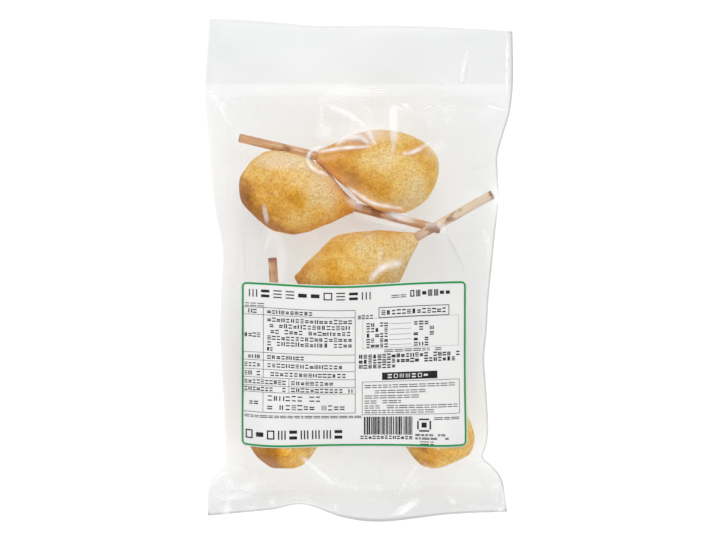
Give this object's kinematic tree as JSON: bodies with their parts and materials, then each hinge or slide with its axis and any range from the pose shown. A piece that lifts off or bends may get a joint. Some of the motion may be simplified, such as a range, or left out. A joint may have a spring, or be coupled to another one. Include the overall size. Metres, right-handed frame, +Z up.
{
  "type": "bag of mini corn dogs",
  "caption": "Clear sealed film bag of mini corn dogs on wooden sticks, with a plain green-bordered label, lying flat on its back.",
  "frame": {"origin": "middle of the bag's bounding box, at the height of the surface that it lies on", "axes": "+X to the right and +Y to the header, as the label is read; +Z up, out of the labelled side"},
  "size_m": [0.153, 0.2508, 0.0422],
  "materials": {
    "film": "clear glossy nylon and polyethylene film",
    "label_paper": "satin coated label paper with a green border and grey print",
    "batter": "fried batter, golden and finely grained",
    "stick_wood": "plain round birch stick"
  },
  "bodies": {
    "root": {"bag": "film", "label": "label_paper"}
  },
  "joints": []
}
